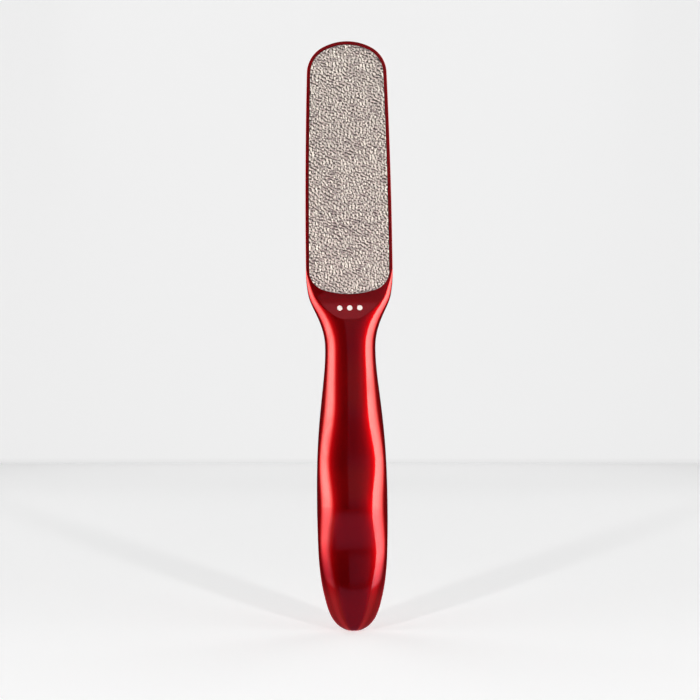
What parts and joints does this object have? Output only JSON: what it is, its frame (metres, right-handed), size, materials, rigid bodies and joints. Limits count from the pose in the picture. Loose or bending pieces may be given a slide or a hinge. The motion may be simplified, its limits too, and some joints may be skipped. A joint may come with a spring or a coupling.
{
  "type": "foot file",
  "caption": "Paddle-shaped hand file for smoothing feet: waved two-shell grip, narrow neck and a flat head with a bonded abrasive plate on each face.",
  "frame": {"origin": "middle of the grip's belly, on the parting plane of the two shells", "axes": "+Z along the file towards the head, X across the width, -Y out of the coarse face and +Y out of the fine face"},
  "size_m": [0.0384, 0.0162, 0.26],
  "materials": {
    "red_lacquer": "metallic red lacquer under a clear gloss coat",
    "nickel_grit": "warm silver nickel with raised grit",
    "bonding_film": "matt translucent adhesive film"
  },
  "bodies": {
    "root": {"front_shell": "red_lacquer", "back_shell": "red_lacquer", "coarse_plate": "nickel_grit", "fine_plate": "nickel_grit", "coarse_plate_adhesive": "bonding_film", "fine_plate_adhesive": "bonding_film"}
  },
  "joints": []
}
